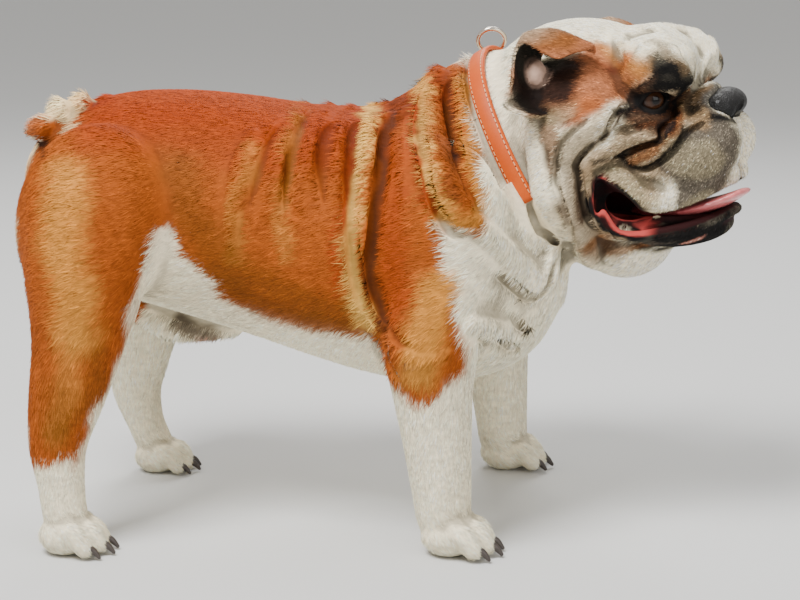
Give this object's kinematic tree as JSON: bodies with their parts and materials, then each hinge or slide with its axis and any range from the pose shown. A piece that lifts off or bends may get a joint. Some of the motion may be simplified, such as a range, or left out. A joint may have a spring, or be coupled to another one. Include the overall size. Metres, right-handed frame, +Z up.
{
  "type": "english bulldog",
  "caption": "Stocky short-muzzled dog with deep skin folds and a leather collar, standing still with its head turned a little to one side and its mouth open; a life-size display model.",
  "frame": {"origin": "on the floor, under the middle of the bounding box", "axes": "+X forward along the trunk, +Y to the dog's left, +Z up; the picture was taken from the dog's right side"},
  "size_m": [0.6358, 0.3518, 0.4487],
  "materials": {
    "coat": "short close fur, red fawn and white",
    "eye": "wet, dark brown iris under a clear cornea",
    "nose_leather": "moist pebbled black skin",
    "tongue": "wet pink flesh",
    "collar_leather": "worn orange-tan leather, stitched along both edges",
    "steel": "worn bright"
  },
  "bodies": {
    "root": {"head": "coat", "neck": "coat", "torso": "coat", "tail": "coat", "front_leg_right": "coat", "front_leg_left": "coat", "hind_leg_right": "coat", "hind_leg_left": "coat", "ear_right": "coat", "ear_left": "coat", "eye_right": "eye", "eye_left": "eye", "nose": "nose_leather", "tongue": "tongue", "collar": "collar_leather", "collar_ring": "steel"}
  },
  "joints": []
}
